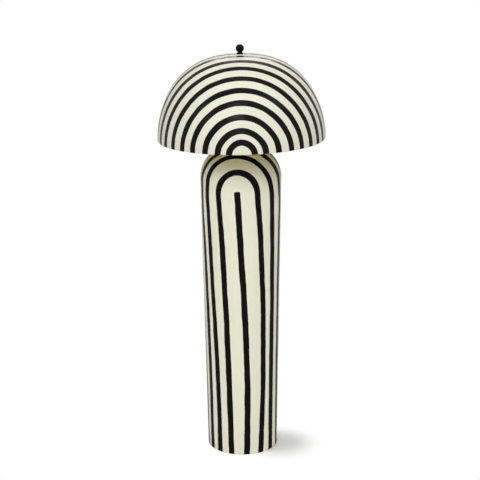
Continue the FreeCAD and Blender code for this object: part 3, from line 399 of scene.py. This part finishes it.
def colour(red, green, blue):
    """A colour as it looks, 0 to 255 each, in the linear numbers that shaders take."""
    def linear(value):
        value /= 255
        return value / 12.92 if value <= 0.04045 else ((value + 0.055) / 1.055) ** 2.4
    return (linear(red), linear(green), linear(blue), 1.0)


class Tree:
    """A material's node tree, written as a chain of calls that each give an output socket."""

    def __init__(self, name):
        self.material = bpy.data.materials.new(name)
        self.material.use_nodes = True
        self.nodes = self.material.node_tree.nodes
        self.links = self.material.node_tree.links
        self.shader = self.nodes["Principled BSDF"]

    def add(self, kind, inputs=(), out=0, **settings):
        node = self.nodes.new("ShaderNode" + kind)
        for name, value in settings.items():
            setattr(node, name, value)
        for key, value in dict(inputs).items():
            self.feed(node.inputs[key], value)
        return node.outputs[out]

    def feed(self, socket, value):
        if isinstance(value, bpy.types.NodeSocket):
            self.links.new(value, socket)
        else:
            socket.default_value = value

    def set(self, **inputs):
        """Inputs of the surface shader, with _ for each space in a name."""
        for name, value in inputs.items():
            self.feed(self.shader.inputs[name.replace("_", " ")], value)

    def here(self):
        return self.add("TexCoord", out="Object")

    def stretched(self, vector, scale):
        return self.add("Mapping", {"Vector": vector, "Scale": scale})

    def grain(self, vector, scale, detail=2.0, roughness=0.5):
        return self.add("TexNoise", {"Vector": vector, "Scale": scale, "Detail": detail,
                                     "Roughness": roughness}, out="Fac")

    def spread(self, value, low, high, to_low=0.0, to_high=1.0):
        return self.add("MapRange", {"Value": value, "From Min": low, "From Max": high,
                                     "To Min": to_low, "To Max": to_high})

    def sum(self, first, second):
        return self.add("Math", {0: first, 1: second}, operation="ADD")

    def times(self, first, second):
        return self.add("Math", {0: first, 1: second}, operation="MULTIPLY")

    def blend(self, share, first, second):
        mix = self.nodes.new("ShaderNodeMix")
        mix.data_type = "RGBA"
        self.feed(mix.inputs[0], share)
        self.feed(mix.inputs[6], first)
        self.feed(mix.inputs[7], second)
        return mix.outputs[2]

    def bump(self, height, distance):
        return self.add("Bump", {"Height": height, "Distance": distance, "Strength": 1.0})


# Grain of a stroke along it, across it and from stroke to stroke, and how far, in millimetres, its
# edge frays and fades.
BRISTLES = (0.02, 0.9, 1.0)
DAUBS = (0.05, 0.2, 1.0)
FRAY = 0.45
FADE = 0.2
INK_DARK = colour(14, 14, 14)
INK_PALE = colour(32, 31, 32)


def stroke_paint(name, ground, ground_warm, ground_cool, gloss):
    """Cream ground with black strokes laid over it with a flat bristle brush."""
    tree = Tree(name)
    here = tree.here()
    place = tree.add("Attribute", out="Vector", attribute_name="stroke_place")
    edge = tree.add("Attribute", out="Fac", attribute_name="stroke_edge")

    # Black: a crisp edge that the bristles roughen a little.
    frayed = tree.spread(tree.grain(here, 260.0, 3.0), 0, 1, -FRAY, FRAY)
    bristles = tree.grain(tree.stretched(place, BRISTLES), 1.0, 4.0, 0.6)
    daubs = tree.grain(tree.stretched(place, DAUBS), 1.0, 3.0, 0.7)
    black = tree.spread(tree.sum(edge, frayed), FADE, -FADE)

    # Ground: brushed on along the strokes, a touch warmer and cooler in patches, over fibre.
    ground_dark = tuple(0.9 * c for c in ground[:3]) + (1.0,)
    patches = tree.grain(here, 9.0, 3.0)
    washed = tree.blend(tree.spread(patches, 0.35, 0.65), ground_warm, ground_cool)
    brushed = tree.blend(tree.spread(bristles, 0.3, 0.75), ground, washed)
    fibre = tree.grain(here, 420.0, 4.0, 0.6)
    cream = tree.blend(tree.spread(fibre, 0.35, 0.7, 0.0, 0.5), brushed, ground_dark)
    ink = tree.blend(tree.spread(bristles, 0.5, 0.7), INK_DARK, INK_PALE)
    tree.set(Base_Color=tree.blend(black, cream, ink), Specular_IOR_Level=gloss)

    # The ink shines in streaks and daubs, and the ground is chalky all over.
    dull = tree.spread(tree.sum(bristles, daubs), 0.84, 1.0, 0.8, 0.22)
    chalky = tree.spread(patches, 0.3, 0.7, 0.5, 0.62)
    rough = tree.add("Mix", {0: black, 2: chalky, 3: dull}, data_type="FLOAT")
    lumps = tree.grain(here, 45.0, 2.0)
    relief = tree.sum(tree.times(fibre, 0.2), tree.times(lumps, 1.2))
    pressed = tree.sum(tree.times(bristles, 0.12), tree.times(black, 0.5))
    tree.set(Roughness=rough, Normal=tree.bump(tree.sum(relief, pressed), 0.16 * MM))
    return tree.material


def plain_paper(name, pale, dark):
    """Unpainted pasted paper: overlapping patches and fine fibre."""
    tree = Tree(name)
    here = tree.here()
    scraps = tree.add("TexVoronoi", {"Vector": here, "Scale": 22.0}, out="Distance")
    fibre = tree.grain(here, 380.0, 4.0, 0.6)
    tree.set(Base_Color=tree.blend(tree.spread(tree.grain(here, 14.0), 0.3, 0.7), pale, dark),
             Roughness=0.85, Specular_IOR_Level=0.2,
             Normal=tree.bump(tree.sum(scraps, tree.times(fibre, 0.5)), 0.25 * MM))
    return tree.material


def metal(name, tint, low, high):
    """Metal with fine tooling marks, whose roughness runs from low to high."""
    tree = Tree(name)
    marks = tree.grain(tree.here(), 500.0, 3.0, 0.6)
    clouds = tree.grain(tree.here(), 60.0, 2.0)
    shade = tuple(0.82 * c for c in tint[:3]) + (1.0,)
    tree.set(Base_Color=tree.blend(tree.spread(clouds, 0.35, 0.7), tint, shade), Metallic=1.0,
             Roughness=tree.spread(marks, 0.3, 0.7, low, high),
             Normal=tree.bump(marks, 0.003 * MM))
    return tree.material


def moulded(name, tint, rough, texture=900.0, gloss=0.5):
    """Moulded plastic or lacquer, with a very fine texture."""
    tree = Tree(name)
    here = tree.here()
    fine = tree.grain(here, texture, 2.0)
    clouds = tree.grain(here, 70.0, 2.0)
    lit = tuple(min(1.0, 1.25 * c + 0.002) for c in tint[:3]) + (1.0,)
    tree.set(Base_Color=tree.blend(tree.spread(clouds, 0.35, 0.7), tint, lit),
             Roughness=tree.spread(fine, 0.3, 0.7, 0.85 * rough, 1.15 * rough),
             Specular_IOR_Level=gloss, Normal=tree.bump(fine, 0.01 * MM))
    return tree.material


def glass(name, tint, rough):
    """Frosted glass, more white than clear."""
    tree = Tree(name)
    fine = tree.grain(tree.here(), 700.0, 2.0)
    tree.set(Base_Color=tint, Transmission_Weight=0.18,
             Roughness=tree.spread(fine, 0.3, 0.7, 0.8 * rough, 1.2 * rough),
             Normal=tree.bump(fine, 0.01 * MM))
    return tree.material


def plywood(name):
    """Veneer layers seen on the edge, and grain on the faces."""
    tree = Tree(name)
    here = tree.here()
    rings = tree.add("TexWave", {"Vector": tree.stretched(here, (2.0, 12.0, 60.0)), "Scale": 3.0,
                                 "Distortion": 3.0, "Detail": 3.0}, out="Fac")
    tree.set(Base_Color=tree.blend(rings, colour(214, 184, 140), colour(178, 140, 96)),
             Roughness=0.6, Normal=tree.bump(rings, 0.08 * MM))
    return tree.material


def felt(name):
    """Pressed felt with a fluffy face."""
    tree = Tree(name)
    fluff = tree.grain(tree.here(), 900.0, 5.0, 0.7)
    tree.set(Base_Color=tree.blend(fluff, colour(30, 30, 32), colour(66, 66, 68)),
             Roughness=0.95, Sheen_Weight=0.4, Normal=tree.bump(fluff, 0.3 * MM))
    return tree.material


def cast_iron(name):
    """Bare sand-cast iron."""
    tree = Tree(name)
    pits = tree.grain(tree.here(), 320.0, 4.0, 0.6)
    tree.set(Base_Color=tree.blend(pits, colour(48, 48, 50), colour(84, 82, 80)),
             Metallic=0.6, Roughness=0.62, Normal=tree.bump(pits, 0.2 * MM))
    return tree.material


MATERIALS = {
    "painted_paper": stroke_paint("column_paint", colour(236, 234, 213), colour(239, 231, 211),
                                  colour(228, 233, 210), 0.025),
    # The dome's ground is written a shade darker than the column's: painted shade that evens out
    # the stronger light falling on the dome.
    "shade_paper": stroke_paint("dome_paint", colour(225, 225, 207), colour(227, 222, 204),
                                colour(216, 222, 201), 0.058),
    "felt": felt("felt"),
    "plywood": plywood("plywood"),
    "iron": cast_iron("iron"),
    "steel": metal("steel", colour(196, 197, 200), 0.3, 0.42),
    "black_steel": moulded("black_steel", colour(34, 34, 35), 0.45, 600.0),
    "rubber": moulded("rubber", colour(30, 30, 31), 0.75, 500.0),
    "brass": metal("brass", colour(214, 178, 104), 0.2, 0.34),
    "contact_brass": metal("contact_brass", colour(222, 186, 118), 0.28, 0.4),
    "liner_paper": moulded("liner_paper", colour(184, 168, 140), 0.8, 400.0),
    "moulded_black": moulded("moulded_black", colour(26, 26, 27), 0.38),
    "bulb_aluminium": metal("bulb_aluminium", colour(205, 207, 210), 0.26, 0.36),
    "bulb_white": moulded("bulb_white", colour(238, 238, 236), 0.35),
    "bulb_frosted": glass("bulb_frosted", colour(246, 246, 243), 0.5),
    "bulb_glass": moulded("bulb_glass", colour(28, 30, 34), 0.2),
    "finial_black": moulded("finial_black", colour(4, 4, 5), 0.14, 300.0, 0.06),
}
SHADE_LINING = plain_paper("shade_lining", colour(232, 222, 142), colour(224, 213, 132))
COLUMN_LINING = plain_paper("column_lining", colour(196, 184, 160), colour(176, 162, 138))

for part in frame["record"]["subparts"]:
    slots = nodes[part["node"]].data.materials
    slots.clear()
    slots.append(MATERIALS[part["material_slot"]])


SHARP_ANGLE = math.radians(50)
LOOKS_DOWN = -0.3


def cover(skin, outside, inside, is_inside):
    """Two material slots: the painted outside, and the faces that is_inside picks."""
    skin.data.materials.clear()
    skin.data.materials.append(outside)
    skin.data.materials.append(inside)
    for face in skin.data.polygons:
        face.material_index = int(is_inside(face))
        face.use_smooth = True
    skin.data.set_sharp_from_angle(angle=SHARP_ANGLE)


def inside_column(face):
    """Whether a face of the column looks at its axis, or down from under the crown."""
    x, y, z = face.center
    facing_in = face.normal.x * x + face.normal.y * y < 0
    return facing_in or (face.normal.z < LOOKS_DOWN and z > BODY_HEIGHT / 2)


def inside_dome(face):
    """Whether a face of the dome looks at the middle of its rim."""
    x, y, z = face.center
    return face.normal.x * x + face.normal.y * y + face.normal.z * (z - RIM_LEVEL) < 0


column = column_skin()
paint_strokes(column, column_strokes)
cover(column, MATERIALS["painted_paper"], COLUMN_LINING, inside_column)
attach(column, "column")
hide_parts("body_shell")

dome, dome_height = dome_skin()
paint_strokes(dome, dome_strokes)
cover(dome, MATERIALS["shade_paper"], SHADE_LINING, inside_dome)
apex = Vector((0, 0, RIM_LEVEL + dome_height - SHADE_WALL))
lean = Matrix.Translation(apex) @ Matrix.Rotation(-DOME_LEAN, 4, "Y") @ Matrix.Translation(-apex)
dome.data.transform(lean)
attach(dome, "shade")
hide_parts("shade_dome")


# Camera.

CAMERA_PLACE = (-0.0039, -3.920, 1.772)
CAMERA_DOWN = math.radians(15.64)
CAMERA_ROLL = math.radians(-0.44)

camera = link("camera", bpy.data.cameras.new("camera"))
camera.data.sensor_width = 36.0
camera.data.lens = 98.6
camera.data.clip_end = 50.0
camera.matrix_world = (Matrix.Translation(CAMERA_PLACE)
                       @ Matrix.Rotation(math.pi / 2 - CAMERA_DOWN, 4, "X")
                       @ Matrix.Rotation(CAMERA_ROLL, 4, "Z"))
bpy.context.scene.camera = camera


# Floor and light. Floor and surroundings look white, also mirrored and through glass, but for the
# shadow by the foot, which is partly a painted shadow: the lamps' shadow falls on a greyer patch
# of floor that fades to white. The light that they throw on the lamp is less than that.

# FLOOR_SHADOW is the middle of a painted shadow by the foot: there the seen floor is a greyer
# diffuse floor, which fades to white from FLOOR_KEEPS to FLOOR_WHITE away.
FLOOR_HALF = 8.0
FLOOR_SHADOW = (0.122, -0.018, 0.0)
FLOOR_KEEPS = 0.03
FLOOR_WHITE = 0.14


def seen_directly(nodes, links):
    """1 where this is seen, mirrored or seen through glass, and 0 where it only gives light."""
    path = nodes.new("ShaderNodeLightPath")
    seen = path.outputs["Is Camera Ray"]
    for kind in ("Is Glossy Ray", "Is Transmission Ray"):
        either = nodes.new("ShaderNodeMath")
        either.operation = "MAXIMUM"
        links.new(seen, either.inputs[0])
        links.new(path.outputs[kind], either.inputs[1])
        seen = either.outputs[0]
    return seen


def floor_material():
    """Pale floor. Where it is seen, it is greyer round FLOOR_SHADOW by the foot, a painted shadow
    that the lamps' own shadow falls on too, and it brightens to white from FLOOR_KEEPS to
    FLOOR_WHITE away from there."""
    tree = Tree("floor")
    pale = tree.grain(tree.here(), 40.0, 3.0)
    tree.set(Base_Color=tree.blend(pale, colour(226, 226, 226), colour(230, 230, 230)),
             Roughness=0.9, Specular_IOR_Level=0.1)
    offset = tree.add("VectorMath", {0: tree.here(), 1: FLOOR_SHADOW}, operation="SUBTRACT")
    distance = tree.add("VectorMath", {0: offset}, operation="LENGTH", out="Value")
    away = tree.add("MapRange", {"Value": distance, "From Min": FLOOR_KEEPS,
                                 "From Max": FLOOR_WHITE}, interpolation_type="SMOOTHSTEP")
    white = tree.add("Emission", {"Color": (1, 1, 1, 1), "Strength": 1.0})
    # Greyer floor by the foot: a painted shadow, on which the lamps' real shadow falls as well.
    shadow_floor = tree.add("BsdfDiffuse", {"Color": colour(229, 229, 229)})
    shown = tree.add("MixShader", {0: away, 1: shadow_floor, 2: white})
    surface = tree.add("MixShader", {0: seen_directly(tree.nodes, tree.links),
                                     1: tree.shader.outputs[0], 2: shown})
    tree.links.new(surface, tree.nodes["Material Output"].inputs["Surface"])
    return tree.material


floor_mesh = bpy.data.meshes.new("floor")
floor_mesh.from_pydata([(-FLOOR_HALF, -FLOOR_HALF, 0), (FLOOR_HALF, -FLOOR_HALF, 0),
                        (FLOOR_HALF, FLOOR_HALF, 0), (-FLOOR_HALF, FLOOR_HALF, 0)],
                       [], [(0, 1, 2, 3)])
floor = link("floor", floor_mesh)
floor.data.materials.append(floor_material())


LAMPS_AIM = Vector((0, 0, 0.75))
WORLD_LEVEL = 0.276


def softbox(name, azimuth, elevation, distance, size, level):
    """A square lamp aimed at the middle of the object. level 1 lights a surface that faces it
    about as brightly as its colour is written."""
    lamp = bpy.data.lights.new(name, "AREA")
    lamp.shape, lamp.size = "SQUARE", size
    lamp.energy = level * math.pi ** 2 * distance ** 2
    turn, tilt = math.radians(azimuth), math.radians(elevation)
    away = Vector((math.sin(turn) * math.cos(tilt), -math.cos(turn) * math.cos(tilt),
                   math.sin(tilt)))
    holder = link(name, lamp)
    holder.location = LAMPS_AIM + away * distance
    holder.rotation_euler = away.to_track_quat("Z", "Y").to_euler()


softbox("key", -5, 38, 7.0, 2.4, 0.362)
softbox("fill", -5, 18, 7.0, 2.4, 0.117)
softbox("left", -62, 32, 7.0, 2.6, 0.157)
softbox("right", 62, 48, 7.0, 2.6, 0.208)
softbox("overhead", 0, 88, 6.0, 3.0, 0.152)
softbox("back", 178, 28, 7.0, 2.6, 0.17)


def surroundings():
    """Even white light from all round, brighter where it is seen than where it only lights."""
    world = bpy.data.worlds.new("studio")
    world.use_nodes = True
    nodes, links = world.node_tree.nodes, world.node_tree.links
    level = nodes.new("ShaderNodeMapRange")
    level.inputs["To Min"].default_value = WORLD_LEVEL
    level.inputs["To Max"].default_value = 1.0
    links.new(seen_directly(nodes, links), level.inputs["Value"])
    backdrop = nodes["Background"]
    backdrop.inputs["Color"].default_value = (1, 1, 1, 1)
    links.new(level.outputs[0], backdrop.inputs["Strength"])
    return world


bpy.context.scene.world = surroundings()
bpy.context.scene.view_settings.view_transform = "Standard"
